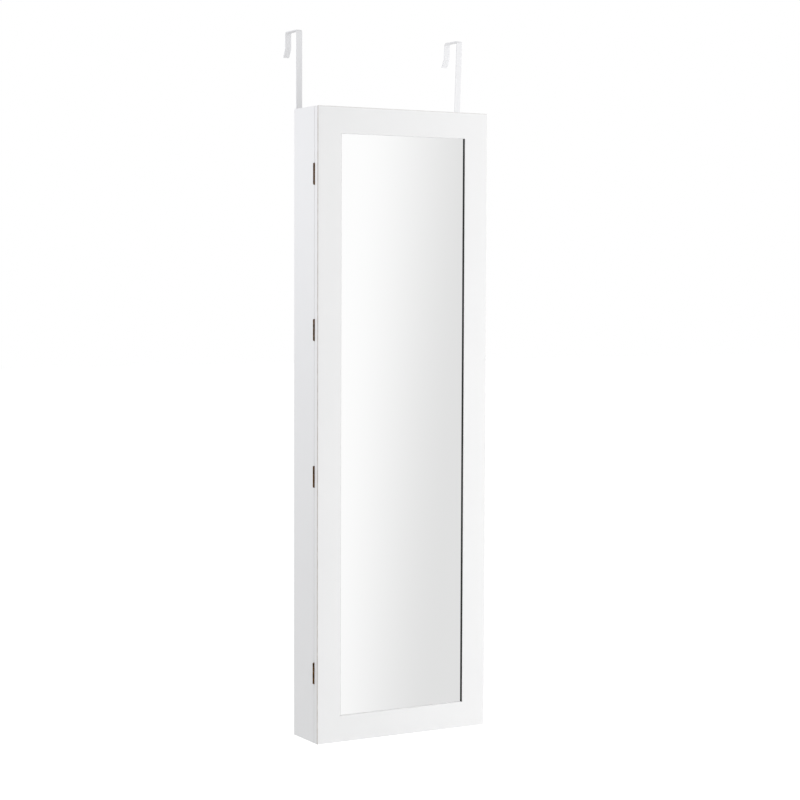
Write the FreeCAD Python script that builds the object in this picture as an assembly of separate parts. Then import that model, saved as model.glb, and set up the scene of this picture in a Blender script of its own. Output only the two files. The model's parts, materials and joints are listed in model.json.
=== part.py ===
# Jewelry mirror cabinet that hangs over a house door. A shallow carcass holds shelves, a ring
# cushion and pegs, and a full-length mirror door closes it on four butt hinges.
#
# Millimetres. The origin is the middle of the carcass's back face. +X is to the right as seen
# from the front, +Y points from the back face towards the house door, +Z is up.

import FreeCAD
import Part
import math
import os

# outer sizes
cabinet_width = 370.0  # side face to side face
cabinet_height = 1200.0  # underside to top
cabinet_depth = 98.0  # back face to the mirror door's front face
arris = 0.5  # rounding of the painted outer edges

# carcass boards
board_thickness = 15.0  # sides, top and bottom
back_thickness = 3.0
back_lap = 8.0  # how far the back panel lies over the boards' rear edges
lining_thickness = 2.0  # velvet-covered boards behind the shelves and on the door
panel_play = 0.2  # clearance round a board or pad in the place it fills
flush_play = 0.3  # clearance between two neighbours that don't touch

# mirror door
door_thickness = 13.0
parting_gap = 1.0  # between the door's back and the carcass
stile_width = 50.0
rail_height = 50.0
lip_depth = 4.0  # from the frame's front face back to the glass
rebate_width = 5.5  # how far the frame laps over the glass, play included
mirror_thickness = 3.0
mirror_play = 0.5
seal_thickness = 0.5  # black strip on the opening's two upright walls
seal_setback = 1.0  # frame's front face to the seal
lining_overlap = 8.0  # how far the door lining covers the frame round the backing

# corner dowels
dowel_length = 30.0
dowel_radius = 4.0
dowel_side_depth = 10.0  # part of a dowel that is in the side board
dowel_inset = 18.0  # board's front or rear edge to the nearest dowel
door_dowel_radius = 3.0
door_dowel_length = 36.0
door_dowel_inset = 14.0  # rail's outer edge to its first dowel
door_dowel_pitch = 18.0
dowel_play = 0.05  # radial
dowel_end_play = 0.4

# hinges
hinge_length = 40.0
hinge_from_bottom = 134.0  # underside to the lowest hinge's middle
hinge_from_top = 126.0
hinge_below_middle = 93.0  # cabinet's mid-height to the second hinge's middle
hinge_above_middle = 183.0
knuckle_count = 5
knuckle_gap = 0.3
barrel_radius = 2.1
barrel_proud = 0.5  # side face to the barrel's axis
pin_radius = 0.9
pin_play = 0.05
pin_head = 0.6  # how far the pin stands out at each end
leaf_thickness = 0.8
leaf_gap = 0.3  # between the two leaves of a closed hinge
leaf_width = 12.0  # barrel's axis to the leaf's free edge
hinge_screw_spacing = 26.0
barrel_relief = 0.3  # clearance cut in the wood round the barrel

# screws
hinge_screw_head = 2.2  # radii, as all round sizes here
hinge_screw_shank = 1.2
hinge_screw_length = 8.5
strap_screw_head = 3.1
strap_screw_shank = 1.7
strap_screw_length = 20.0
back_screw_head = 2.5
back_screw_shank = 1.3
back_screw_length = 11.0
catch_screw_head = 2.6
catch_screw_shank = 1.4
catch_screw_length = 10.0
pan_head_height = 1.2
screw_play = 0.05
drive_width = 0.5  # cross recess in a screw's head
drive_depth = 0.5

# back panel screws
side_screw_count = 6
cross_screw_count = 3
back_screw_margin = 60.0  # nearest screw to the panel's corner

# straps that hang over the house door
strap_width = 12.0
strap_thickness = 2.0
strap_inset = 5.0  # side face to the strap's outer edge
strap_lap = 130.0  # how far a strap runs down the carcass's back
strap_rise = 150.0  # carcass's top to the strap's highest face
house_door_thickness = 45.0  # clear gap of the hook
strap_drop = 32.0  # straight length behind the house door
strap_flare = 18.0  # bent-out length at the end
strap_flare_angle = 28.0
strap_bend_radius = 4.0
strap_corner = 1.5
strap_hole_count = 4
strap_hole_pitch = 30.0
strap_first_hole = 15.0  # strap's lower end to its first hole
strap_screw_holes = (0, 2)  # the holes that hold screws; the others set other heights
left_strap_lean = 0.0
right_strap_lean = 1.8  # degrees outwards

# shelves and rods
shelf_count = 3
shelf_thickness = 6.0
bay_height = 105.0  # clear height under each shelf
door_room = 33.0  # depth kept free for what the door carries
pad_thickness = 2.0
pad_inset = 3.0
shelf_pin_radius = 2.5
shelf_pin_length = 15.0
shelf_pin_depth = 7.0  # part of a pin that is in the side board
shelf_pin_inset = 9.0  # shelf's edge to its pins
guard_rod_radius = 2.0
guard_rod_height = 28.0  # shelf's top to the rod's axis
rod_socket_depth = 6.0
rod_play = 0.05
bracelet_rod_radius = 5.0
bracelet_rod_height = 78.0  # upper ring ledge's top to the rod's axis
bracelet_rod_standoff = 30.0  # lining to the rod's axis

# ring cushion
roll_count = 8
roll_pitch = 15.0
roll_bulge = 6.0  # valley to crown of one roll
cushion_depth = 24.0  # lining to the crowns
cushion_side_gap = 12.0  # cushion's ends to the side boards
ledge_depth = 30.0

# peg rail
rail_depth = 12.0
peg_rail_height = 40.0
rail_below_top = 26.0  # ceiling to the rail's top
peg_drop = 28.0  # rail's top to the pegs
rail_screw_drop = 11.0  # rail's top to the wall screws and the rail's own screws
peg_count = 11
peg_end_margin = 28.0  # rail's end to the first peg
peg_radius = 1.6
peg_length = 20.0
peg_angle = 20.0  # upwards from level
peg_collar_radius = 4.0
peg_collar_height = 1.5
peg_socket_depth = 8.0
peg_tip_radius = 2.6
wall_screw_spacing = 200.0
wall_screw_radius = 2.5

# earring rails on the door
earring_rail_count = 3
earring_rail_length = 264.0
earring_rail_height = 30.0
earring_rail_thickness = 2.5
earring_rail_standoff = 13.0
earring_rail_pitch = 120.0
earring_rail_below_opening = 130.0  # top of the mirror's opening to the highest rail's middle
earring_spacer_width = 12.0
earring_slot_count = 22
earring_slot_width = 1.8
earring_slot_depth = 14.0
earring_slot_margin = 26.0  # rail's end to its first slot

# magnetic catch
catch_above_middle = 30.0
catch_length = 40.0
catch_width = 13.0
catch_depth = 16.0
catch_flange_length = 62.0
catch_flange_thickness = 2.5
catch_screw_spacing = 51.0
catch_edge = 1.0  # rounding of the housing
magnet_length = 26.0
magnet_width = 7.0
magnet_depth = 11.0
magnet_proud = 0.5
strike_length = 38.0
strike_thickness = 1.2
strike_screw_spacing = 26.0

# small pads
bumper_radius = 4.0
bumper_inset = 30.0  # cabinet's corner to a bumper, up or down
back_pad_radius = 11.0
back_pad_inset = 38.0

# places that follow from the sizes above
left_x = -cabinet_width / 2
right_x = cabinet_width / 2
base_z = -cabinet_height / 2
top_z = cabinet_height / 2
front_y = -cabinet_depth
door_back_y = front_y + door_thickness
carcass_y = door_back_y + parting_gap
inner_left = left_x + board_thickness
inner_right = right_x - board_thickness
floor_z = base_z + board_thickness
ceiling_z = top_z - board_thickness
lining_y = -back_thickness - lining_thickness
glass_y = front_y + lip_depth
backing_y = glass_y + mirror_thickness
door_lining_y = door_back_y + lining_thickness
opening_left = left_x + stile_width
opening_right = right_x - stile_width
opening_low = base_z + rail_height
opening_high = top_z - rail_height
rebate_left = opening_left - rebate_width
rebate_right = opening_right + rebate_width
rebate_low = opening_low - rebate_width
rebate_high = opening_high + rebate_width
axis_x = left_x - barrel_proud
axis_y = door_back_y + parting_gap / 2
shelf_depth = lining_y - carcass_y - door_room
shelf_front_y = lining_y - shelf_depth
cushion_height = roll_count * roll_pitch
hinge_heights = (
    base_z + hinge_from_bottom,
    -hinge_below_middle,
    hinge_above_middle,
    top_z - hinge_from_top,
)
lower_ledge_z = floor_z + (shelf_count + 1) * bay_height + shelf_count * shelf_thickness
cushion_z = lower_ledge_z + shelf_thickness
upper_ledge_z = cushion_z + cushion_height + panel_play
bracelet_rod_z = upper_ledge_z + shelf_thickness + bracelet_rod_height
peg_rail_top = ceiling_z - rail_below_top
peg_z = peg_rail_top - peg_drop
rail_screw_z = peg_rail_top - rail_screw_drop
rail_front_y = lining_y - rail_depth
strap_y = strap_thickness
catch_z = catch_above_middle
hinge_screw = (hinge_screw_head, hinge_screw_shank, hinge_screw_length)
strap_screw = (strap_screw_head, strap_screw_shank, strap_screw_length)
back_screw = (back_screw_head, back_screw_shank, back_screw_length)
catch_screw = (catch_screw_head, catch_screw_shank, catch_screw_length)
overcut = 1.0  # how far a cutter reaches past the face it opens

forward = FreeCAD.Vector(0, -1, 0)
backward = FreeCAD.Vector(0, 1, 0)
across = FreeCAD.Vector(1, 0, 0)
upward = FreeCAD.Vector(0, 0, 1)


def block(x_low, x_high, y_low, y_high, z_low, z_high):
    corner = FreeCAD.Vector(x_low, y_low, z_low)
    return Part.makeBox(x_high - x_low, y_high - y_low, z_high - z_low, corner)


def rod(radius, start, direction, length):
    return Part.makeCylinder(radius, length, start, direction)


def cut_all(shape, cutters):
    return shape.cut(Part.Compound(cutters)) if cutters else shape


def edges_where(shape, test):
    # edges whose two ends both pass the test
    return [edge for edge in shape.Edges if all(test(vertex.Point) for vertex in edge.Vertexes)]


def near(value, target):
    return abs(value - target) < 1e-6


def countersunk_screw(seat, direction, sizes, play=0.0):
    # the head's flat face is at the seat, and the shank follows the direction
    head_radius, shank_radius, length = sizes
    head_height = head_radius - shank_radius
    head = Part.makeCone(head_radius + play, shank_radius + play, head_height, seat, direction)
    shank = rod(shank_radius + play, seat, direction, length + play)
    return head.fuse(shank).removeSplitter()


def screw_holes(points, direction, sizes):
    return [countersunk_screw(point, direction, sizes, screw_play) for point in points]


def pan_screw(seat, direction, sizes):
    # the head stands on the seat, and the shank follows the direction
    head_radius, shank_radius, length = sizes
    head = rod(head_radius, seat - direction * pan_head_height, direction, pan_head_height)
    outer = edges_where(head, lambda point: near((point - seat).dot(direction), -pan_head_height))
    head = head.makeFillet(pan_head_height / 2, outer)
    return head.fuse(rod(shank_radius, seat, direction, length)).removeSplitter()


def drive_cross(face_point, direction, head_radius):
    # two crossed slots sunk into a head that faces against the direction
    reach = head_radius * 0.6
    side = across if abs(direction.dot(across)) < 0.5 else backward
    cutters = []
    for first, second in ((side, upward), (upward, side)):
        corner = face_point - first * reach - second * (drive_width / 2) - direction * overcut
        edges = [first * (2 * reach), second * drive_width, direction * (drive_depth + overcut)]
        base = Part.makePolygon([
            corner,
            corner + edges[0],
            corner + edges[0] + edges[1],
            corner + edges[1],
            corner,
        ])
        cutters.append(Part.Face(base).extrude(edges[2]))
    return cutters


def spread(low, high, count):
    # evenly spaced values from low to high, both included
    step = (high - low) / (count - 1)
    return [low + step * index for index in range(count)]


# where the repeated pieces go


def board_heights():
    # undersides of the shelves and of the two ring ledges, from the floor up
    step = bay_height + shelf_thickness
    shelves = [floor_z + bay_height + step * index for index in range(shelf_count)]
    return shelves + [lower_ledge_z, upper_ledge_z]


def board_depths():
    return [shelf_depth] * shelf_count + [ledge_depth, ledge_depth]


def shelf_pin_places():
    # one (height, y) for each pin on a side board
    places = []
    for height, depth in zip(board_heights(), board_depths()):
        z = height - shelf_pin_radius
        places.append((z, lining_y - shelf_pin_inset))
        places.append((z, lining_y - depth + shelf_pin_inset))
    return places


def guard_rod_places():
    # the floor's rod first, then one above each shelf
    y = shelf_front_y + guard_rod_radius
    floors = [floor_z] + [height + shelf_thickness for height in board_heights()[:shelf_count]]
    return [(floor + guard_rod_height, y) for floor in floors]


def bracelet_rod_place():
    return (bracelet_rod_z, lining_y - bracelet_rod_standoff)


def corner_dowel_places():
    # (side, y, z) of each dowel between a side board and the top or bottom
    low_y = carcass_y + dowel_inset
    high_y = -back_thickness - dowel_inset
    heights = (base_z + board_thickness / 2, top_z - board_thickness / 2)
    return [(side, y, z) for side in (-1, 1) for y in (low_y, high_y) for z in heights]


def door_dowel_places():
    # (side, y, z) of each dowel between a stile and a rail
    y = (front_y + door_back_y) / 2
    low = base_z + door_dowel_inset
    high = top_z - door_dowel_inset
    heights = (low, low + door_dowel_pitch, high - door_dowel_pitch, high)
    return [(side, y, z) for side in (-1, 1) for z in heights]


def strap_middle(side):
    # centre line of the strap where its holes are, halfway along them
    x = side * (cabinet_width / 2 - strap_inset - strap_width / 2)
    hole_run = strap_hole_pitch * (strap_hole_count - 1)
    z = top_z - strap_lap + strap_first_hole + hole_run / 2
    return FreeCAD.Vector(x, 0, z)


def strap_lean(side):
    return left_strap_lean if side < 0 else right_strap_lean


def strap_hole_point(side, index):
    middle = strap_middle(side)
    offset = strap_hole_pitch * (index - (strap_hole_count - 1) / 2)
    lean = math.radians(strap_lean(side)) * side
    step = FreeCAD.Vector(math.sin(lean) * offset, strap_y, math.cos(lean) * offset)
    return middle + step


def strap_screw_holes_at(side):
    points = [strap_hole_point(side, index) for index in strap_screw_holes]
    return screw_holes(points, forward, strap_screw)


def back_screw_places():
    # down both sides below the straps, across the top and bottom, and into the peg rail
    side_x = cabinet_width / 2 - board_thickness + back_lap / 2
    edge_z = cabinet_height / 2 - board_thickness + back_lap / 2
    high = top_z - strap_lap - back_screw_margin / 2
    heights = spread(base_z + back_screw_margin, high, side_screw_count)
    places = [(side * side_x, z) for side in (-1, 1) for z in heights]
    run = cabinet_width / 2 - back_screw_margin
    for x in spread(-run, run, cross_screw_count):
        places += [(x, -edge_z), (x, edge_z), (x, rail_screw_z)]
    return [FreeCAD.Vector(x, 0, z) for x, z in places]


def back_screw_holes():
    radius = back_screw_shank + screw_play
    depth = back_screw_length + screw_play + overcut
    return [rod(radius, place + backward * overcut, forward, depth) for place in back_screw_places()]


def wall_screw_holes():
    # through the peg rail, the lining and the back panel
    reach = rail_depth - lining_y + 2 * overcut
    start_y = rail_front_y - overcut
    holes = []
    for side in (-1, 1):
        start = FreeCAD.Vector(side * wall_screw_spacing / 2, start_y, rail_screw_z)
        holes.append(rod(wall_screw_radius, start, backward, reach))
    return holes


def catch_screw_points():
    y = carcass_y + catch_depth / 2 + flush_play
    x = inner_right - catch_flange_thickness
    half = catch_screw_spacing / 2
    return [FreeCAD.Vector(x, y, catch_z + side * half) for side in (-1, 1)]


def strike_screw_points():
    x = inner_right - catch_width / 2
    y = door_back_y + strike_thickness
    half = strike_screw_spacing / 2
    return [FreeCAD.Vector(x, y, catch_z + side * half) for side in (-1, 1)]


def bumper_points():
    x = right_x - board_thickness / 2
    heights = (base_z + bumper_inset, top_z - bumper_inset)
    return [FreeCAD.Vector(x, carcass_y, z) for z in heights]


def peg_points():
    low = inner_left + peg_end_margin
    high = inner_right - peg_end_margin
    return [FreeCAD.Vector(x, rail_front_y, peg_z) for x in spread(low, high, peg_count)]


def earring_rail_heights():
    high = opening_high - earring_rail_below_opening
    low = high - earring_rail_pitch * (earring_rail_count - 1)
    return spread(low, high, earring_rail_count)


# hinges


def knuckle_spans(centre, first):
    # z ranges of every second knuckle, counted from the given one
    pitch = hinge_length / knuckle_count
    start = centre - hinge_length / 2
    spans = []
    for index in range(first, knuckle_count, 2):
        low = start + pitch * index + knuckle_gap / 2
        spans.append((low, low + pitch - knuckle_gap))
    return spans


def leaf_screw_points(centre, seat_y):
    x = axis_x + (barrel_radius + leaf_width) / 2
    half = hinge_screw_spacing / 2
    return [FreeCAD.Vector(x, seat_y, centre + side * half) for side in (-1, 1)]


def carcass_leaf_y():
    # front and rear face of the leaf that is screwed to the carcass
    low = axis_y + leaf_gap / 2
    return low, low + leaf_thickness


def door_leaf_y():
    high = axis_y - leaf_gap / 2
    return high - leaf_thickness, high


def leaf(centre, y_range, first_knuckle, seat_y, direction):
    low_z = centre - hinge_length / 2
    high_z = centre + hinge_length / 2
    shape = block(axis_x, axis_x + leaf_width, y_range[0], y_range[1], low_z, high_z)
    notch_x = axis_x + barrel_radius + barrel_relief
    for low, high in knuckle_spans(centre, 1 - first_knuckle):
        notch_y = (y_range[0] - overcut, y_range[1] + overcut)
        notch = block(axis_x - overcut, notch_x, *notch_y, low - knuckle_gap, high + knuckle_gap)
        shape = shape.cut(notch)
    for low, high in knuckle_spans(centre, first_knuckle):
        start = FreeCAD.Vector(axis_x, axis_y, low)
        shape = shape.fuse(rod(barrel_radius, start, upward, high - low))
    bore_start = FreeCAD.Vector(axis_x, axis_y, low_z - overcut)
    shape = shape.cut(rod(pin_radius + pin_play, bore_start, upward, hinge_length + 2 * overcut))
    points = leaf_screw_points(centre, seat_y)
    return cut_all(shape, screw_holes(points, direction, hinge_screw)).removeSplitter()


def carcass_leaf(centre):
    y_range = carcass_leaf_y()
    return leaf(centre, y_range, 0, y_range[0], backward)


def door_leaf(centre):
    y_range = door_leaf_y()
    return leaf(centre, y_range, 1, y_range[1], forward)


def hinge_pin(centre):
    low = centre - hinge_length / 2 - pin_head
    start = FreeCAD.Vector(axis_x, axis_y, low)
    pin = rod(pin_radius, start, upward, hinge_length + 2 * pin_head)
    half = hinge_length / 2 + pin_head
    tips = edges_where(pin, lambda point: near(abs(point.z - centre), half))
    return pin.makeFillet(pin_head / 2, tips)


def hinge_recess(centre, face_y, floor_y):
    # the shallow seat for a leaf and the round relief for the barrel
    low = centre - hinge_length / 2 - panel_play
    high = centre + hinge_length / 2 + panel_play
    seat_low = min(face_y, floor_y)
    seat_high = max(face_y, floor_y)
    seat = block(left_x - overcut, axis_x + leaf_width + panel_play, seat_low, seat_high, low, high)
    start = FreeCAD.Vector(axis_x, axis_y, low - pin_head)
    relief = rod(barrel_radius + barrel_relief, start, upward, high - low + 2 * pin_head)
    return [seat, relief]


# carcass


def carcass_box():
    # the four boards as one rounded tube, before it is parted
    shape = block(left_x, right_x, carcass_y, 0, base_z, top_z)
    shape = shape.makeFillet(arris, shape.Edges)
    inside = block(inner_left, inner_right, carcass_y - overcut, overcut, floor_z, ceiling_z)
    lap_x = cabinet_width / 2 - board_thickness + back_lap
    lap_z = cabinet_height / 2 - board_thickness + back_lap
    rebate = block(-lap_x, lap_x, -back_thickness, overcut, -lap_z, lap_z)
    return shape.cut(inside).cut(rebate)


def dowels(places, seam_x, depth, radius, length):
    # pins across a seam, each with the given depth on the outer side of it
    solids = []
    for side, y, z in places:
        start = FreeCAD.Vector(side * (seam_x + depth), y, z)
        solids.append(rod(radius, start, across * -side, length))
    return solids


def carcass_dowels(play=0.0, end_play=0.0):
    seam_x = cabinet_width / 2 - board_thickness
    depth = dowel_side_depth + end_play
    length = dowel_length + 2 * end_play
    return dowels(corner_dowel_places(), seam_x, depth, dowel_radius + play, length)


def carcass_dowel_holes():
    return carcass_dowels(dowel_play, dowel_end_play)


def side_sockets(side):
    # blind holes in a side board's inner face for shelf pins and rods
    inner_x = side * (cabinet_width / 2 - board_thickness)
    holes = []
    for z, y in shelf_pin_places():
        start = FreeCAD.Vector(inner_x - side * overcut, y, z)
        depth = shelf_pin_depth + dowel_end_play + overcut
        holes.append(rod(shelf_pin_radius + dowel_play, start, across * side, depth))
    rods = [(place, guard_rod_radius) for place in guard_rod_places()]
    rods.append((bracelet_rod_place(), bracelet_rod_radius))
    for (z, y), radius in rods:
        start = FreeCAD.Vector(inner_x - side * overcut, y, z)
        holes.append(rod(radius + rod_play, start, across * side, rod_socket_depth + overcut))
    return holes


def spare_strap_holes(side):
    # pilot holes for the strap's other heights
    holes = []
    for index in range(strap_hole_count):
        if index not in strap_screw_holes:
            start = strap_hole_point(side, index)
            holes.append(rod(strap_screw_shank, start, forward, strap_screw_length))
    return holes


def side_panel_left():
    shape = carcass_box().common(block(left_x, inner_left, carcass_y, 0, base_z, top_z))
    cutters = carcass_dowel_holes() + side_sockets(-1)
    cutters += strap_screw_holes_at(-1) + spare_strap_holes(-1) + back_screw_holes()
    seat_y, floor_y = carcass_leaf_y()
    for centre in hinge_heights:
        cutters += hinge_recess(centre, carcass_y - overcut, floor_y)
        cutters += screw_holes(leaf_screw_points(centre, seat_y), backward, hinge_screw)
    return cut_all(shape, cutters)


def side_panel_right():
    shape = carcass_box().common(block(inner_right, right_x, carcass_y, 0, base_z, top_z))
    cutters = carcass_dowel_holes() + side_sockets(1)
    cutters += strap_screw_holes_at(1) + spare_strap_holes(1) + back_screw_holes()
    cutters += screw_holes(catch_screw_points(), across, catch_screw)
    return cut_all(shape, cutters)


def end_panel(low, high):
    shape = carcass_box().common(block(inner_left, inner_right, carcass_y, 0, low, high))
    return cut_all(shape, carcass_dowel_holes() + back_screw_holes())


def back_panel():
    half_x = cabinet_width / 2 - board_thickness + back_lap - panel_play
    half_z = cabinet_height / 2 - board_thickness + back_lap - panel_play
    shape = block(-half_x, half_x, -back_thickness, 0, -half_z, half_z)
    cutters = back_screw_holes() + wall_screw_holes()
    for side in (-1, 1):
        cutters += strap_screw_holes_at(side) + spare_strap_holes(side)
    return cut_all(shape, cutters)


def back_lining():
    low_x = inner_left + panel_play
    high_x = inner_right - panel_play
    low_z = floor_z + panel_play
    high_z = ceiling_z - panel_play
    shape = block(low_x, high_x, lining_y, -back_thickness, low_z, high_z)
    return cut_all(shape, back_screw_holes() + wall_screw_holes())


def back_panel_screws():
    solids = []
    for place in back_screw_places():
        head_face = place + backward * pan_head_height
        screw = pan_screw(place, forward, back_screw)
        solids.append(cut_all(screw, drive_cross(head_face, forward, back_screw_head)))
    return Part.Compound(solids)


# inside the carcass


def shelf(height, depth):
    low_x = inner_left + panel_play
    high_x = inner_right - panel_play
    shape = block(low_x, high_x, lining_y - depth, lining_y, height, height + shelf_thickness)
    front = edges_where(shape, lambda point: near(point.y, lining_y - depth))
    long_edges = [edge for edge in front if near(edge.Length, high_x - low_x)]
    return shape.makeFillet(arris, long_edges)


def shelf_pads():
    # one pad on the floor and one on each shelf
    low_x = inner_left + pad_inset
    high_x = inner_right - pad_inset
    low_y = shelf_front_y + pad_inset
    high_y = lining_y - panel_play
    floors = [floor_z] + [height + shelf_thickness for height in board_heights()[:shelf_count]]
    pads = []
    for floor in floors:
        pad = block(low_x, high_x, low_y, high_y, floor, floor + pad_thickness)
        rim = edges_where(pad, lambda point, high=floor + pad_thickness: near(point.z, high))
        pads.append(pad.makeFillet(pad_thickness / 2, rim))
    return Part.Compound(pads)


def shelf_pins():
    solids = []
    for side in (-1, 1):
        inner_x = side * (cabinet_width / 2 - board_thickness)
        for z, y in shelf_pin_places():
            start = FreeCAD.Vector(inner_x + side * shelf_pin_depth, y, z)
            solids.append(rod(shelf_pin_radius, start, across * -side, shelf_pin_length))
    return Part.Compound(solids)


def cross_rod(place, radius):
    # spans the cabinet between two blind sockets
    z, y = place
    reach = rod_socket_depth - dowel_end_play
    start = FreeCAD.Vector(inner_left - reach, y, z)
    return rod(radius, start, across, inner_right - inner_left + 2 * reach)


def ring_cushion():
    # side outline with one arc for each roll, carried across the cabinet
    low_x = inner_left + cushion_side_gap
    valley_y = lining_y - cushion_depth + roll_bulge
    crown_y = lining_y - cushion_depth
    edges = []
    for index in range(roll_count):
        low = FreeCAD.Vector(low_x, valley_y, cushion_z + roll_pitch * index)
        middle = FreeCAD.Vector(low_x, crown_y, cushion_z + roll_pitch * (index + 0.5))
        high = FreeCAD.Vector(low_x, valley_y, cushion_z + roll_pitch * (index + 1))
        edges.append(Part.Arc(low, middle, high).toShape())
    bottom_back = FreeCAD.Vector(low_x, lining_y, cushion_z)
    top_back = FreeCAD.Vector(low_x, lining_y, cushion_z + cushion_height)
    bottom_front = FreeCAD.Vector(low_x, valley_y, cushion_z)
    top_front = FreeCAD.Vector(low_x, valley_y, cushion_z + cushion_height)
    edges.append(Part.makeLine(top_front, top_back))
    edges.append(Part.makeLine(top_back, bottom_back))
    edges.append(Part.makeLine(bottom_back, bottom_front))
    outline = Part.Wire(edges)
    length = inner_right - inner_left - 2 * cushion_side_gap
    return Part.Face(outline).extrude(across * length)


def peg_direction():
    angle = math.radians(peg_angle)
    return FreeCAD.Vector(0, -math.cos(angle), math.sin(angle))


def peg_sockets():
    direction = peg_direction()
    holes = []
    for point in peg_points():
        start = point - direction * peg_socket_depth
        holes.append(rod(peg_radius + dowel_play, start, direction, peg_socket_depth + 3 * overcut))
    return holes


def peg_rail():
    low_x = inner_left + panel_play
    high_x = inner_right - panel_play
    low_z = peg_rail_top - peg_rail_height
    shape = block(low_x, high_x, rail_front_y, lining_y, low_z, peg_rail_top)
    front = edges_where(shape, lambda point: near(point.y, rail_front_y))
    long_edges = [edge for edge in front if near(edge.Length, high_x - low_x)]
    shape = shape.makeFillet(2 * arris, long_edges)
    return cut_all(shape, back_screw_holes() + wall_screw_holes() + peg_sockets())


def pegs():
    # a slanting pin with a round tip and a flat collar on the rail
    direction = peg_direction()
    solids = []
    for point in peg_points():
        start = point - direction * (peg_socket_depth - dowel_end_play)
        pin = rod(peg_radius, start, direction, peg_length + peg_socket_depth)
        tip_centre = start + direction * (peg_length + peg_socket_depth)
        tip = Part.makeSphere(peg_tip_radius, tip_centre)
        collar = rod(peg_collar_radius, point, forward, peg_collar_height)
        solids.append(pin.fuse([tip, collar]).removeSplitter())
    return Part.Compound(solids)


# magnetic catch


def catch_front_y():
    return door_back_y + strike_thickness + flush_play + magnet_proud


def catch_housing():
    low_y = catch_front_y()
    high_y = low_y + catch_depth
    half = catch_length / 2
    body = block(inner_right - catch_width, inner_right, low_y, high_y, catch_z - half, catch_z + half)
    outer = edges_where(body, lambda point: near(point.x, inner_right - catch_width))
    body = body.makeFillet(catch_edge, outer)
    flange_half = catch_flange_length / 2
    flange_x = inner_right - catch_flange_thickness
    flange_low = catch_z - flange_half
    flange = block(flange_x, inner_right, low_y, high_y, flange_low, flange_low + catch_flange_length)
    shape = body.fuse(flange).removeSplitter()
    pocket = block(*magnet_box(panel_play))
    return cut_all(shape, [pocket] + screw_holes(catch_screw_points(), across, catch_screw))


def magnet_box(play):
    # x, y and z ranges, widened at the sides only
    centre_x = inner_right - catch_width / 2
    low_y = catch_front_y() - magnet_proud
    return (
        centre_x - magnet_width / 2 - play,
        centre_x + magnet_width / 2 + play,
        low_y,
        low_y + magnet_depth,
        catch_z - magnet_length / 2 - play,
        catch_z + magnet_length / 2 + play,
    )


def catch_magnet():
    return block(*magnet_box(0.0))


def screws_with_drive(points, direction, sizes):
    solids = []
    for point in points:
        screw = countersunk_screw(point, direction, sizes)
        solids.append(cut_all(screw, drive_cross(point, direction, sizes[0])))
    return Part.Compound(solids)


def strike_plate():
    half = strike_length / 2
    low_x = inner_right - catch_width
    high_x = inner_right - 2 * flush_play
    high_y = door_back_y + strike_thickness
    shape = block(low_x, high_x, door_back_y, high_y, catch_z - half, catch_z + half)
    return cut_all(shape, screw_holes(strike_screw_points(), forward, hinge_screw))


# straps over the house door


def strap_outline():
    # centre line of the strap from its lower end over the house door, in the y-z plane
    half = strap_thickness / 2
    top = top_z + strap_rise - half
    far_y = strap_thickness + house_door_thickness + half
    kink_z = top + half - strap_drop
    angle = math.radians(strap_flare_angle)
    return [
        (half, top_z - strap_lap),
        (half, top),
        (far_y, top),
        (far_y, kink_z),
        (far_y + strap_flare * math.sin(angle), kink_z - strap_flare * math.cos(angle)),
    ]


def offset_side(points, shift):
    # edges of the bent strip on one side of its centre line, lines joined by tangent arcs
    vectors = [FreeCAD.Vector(0, y, z) for y, z in points]
    directions = [(vectors[i + 1] - vectors[i]).normalize() for i in range(len(vectors) - 1)]
    normals = [across.cross(direction) for direction in directions]
    edges = []
    start = vectors[0] + normals[0] * shift
    for index in range(1, len(vectors) - 1):
        before = directions[index - 1]
        after = directions[index]
        turn = before.getAngle(after)
        trim = strap_bend_radius * math.tan(turn / 2)
        end = vectors[index] - before * trim + normals[index - 1] * shift
        leave = vectors[index] + after * trim + normals[index] * shift
        inward = (after - before).normalize()
        centre = vectors[index] + inward * (strap_bend_radius / math.cos(turn / 2))
        radius = (end - centre).Length
        middle = centre - inward * radius
        edges.append(Part.makeLine(start, end))
        edges.append(Part.Arc(end, middle, leave).toShape())
        start = leave
    finish = vectors[-1] + normals[-1] * shift
    edges.append(Part.makeLine(start, finish))
    return edges, vectors[0] + normals[0] * shift, finish


def strap(side):
    half = strap_thickness / 2
    points = strap_outline()
    near_edges, near_start, near_end = offset_side(points, half)
    far_edges, far_start, far_end = offset_side(points, -half)
    caps = [Part.makeLine(near_start, far_start), Part.makeLine(near_end, far_end)]
    outline = Part.Wire(Part.__sortEdges__(near_edges + far_edges + caps))
    shape = Part.Face(outline).extrude(across * strap_width)
    low_z = top_z - strap_lap
    corners = [e for e in edges_where(shape, lambda p: near(p.z, low_z)) if near(e.Length, strap_thickness)]
    shape = shape.makeFillet(strap_corner, corners)
    middle = strap_middle(side)
    shape.translate(FreeCAD.Vector(middle.x - strap_width / 2, 0, 0))
    shape.rotate(middle, backward, strap_lean(side) * side)
    points = [strap_hole_point(side, index) for index in range(strap_hole_count)]
    return cut_all(shape, screw_holes(points, forward, strap_screw))


def strap_screw_group():
    points = [strap_hole_point(side, index) for side in (-1, 1) for index in strap_screw_holes]
    return screws_with_drive(points, forward, strap_screw)


def back_pads():
    # felt discs as thick as the straps, low on the back
    x = cabinet_width / 2 - back_pad_inset
    z = base_z + back_pad_inset
    starts = [FreeCAD.Vector(side * x, 0, z) for side in (-1, 1)]
    pads = [rod(back_pad_radius, start, backward, strap_thickness) for start in starts]
    return Part.Compound(pads)


def bumpers():
    thickness = parting_gap - flush_play
    return Part.Compound([rod(bumper_radius, point, forward, thickness) for point in bumper_points()])


# door


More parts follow.
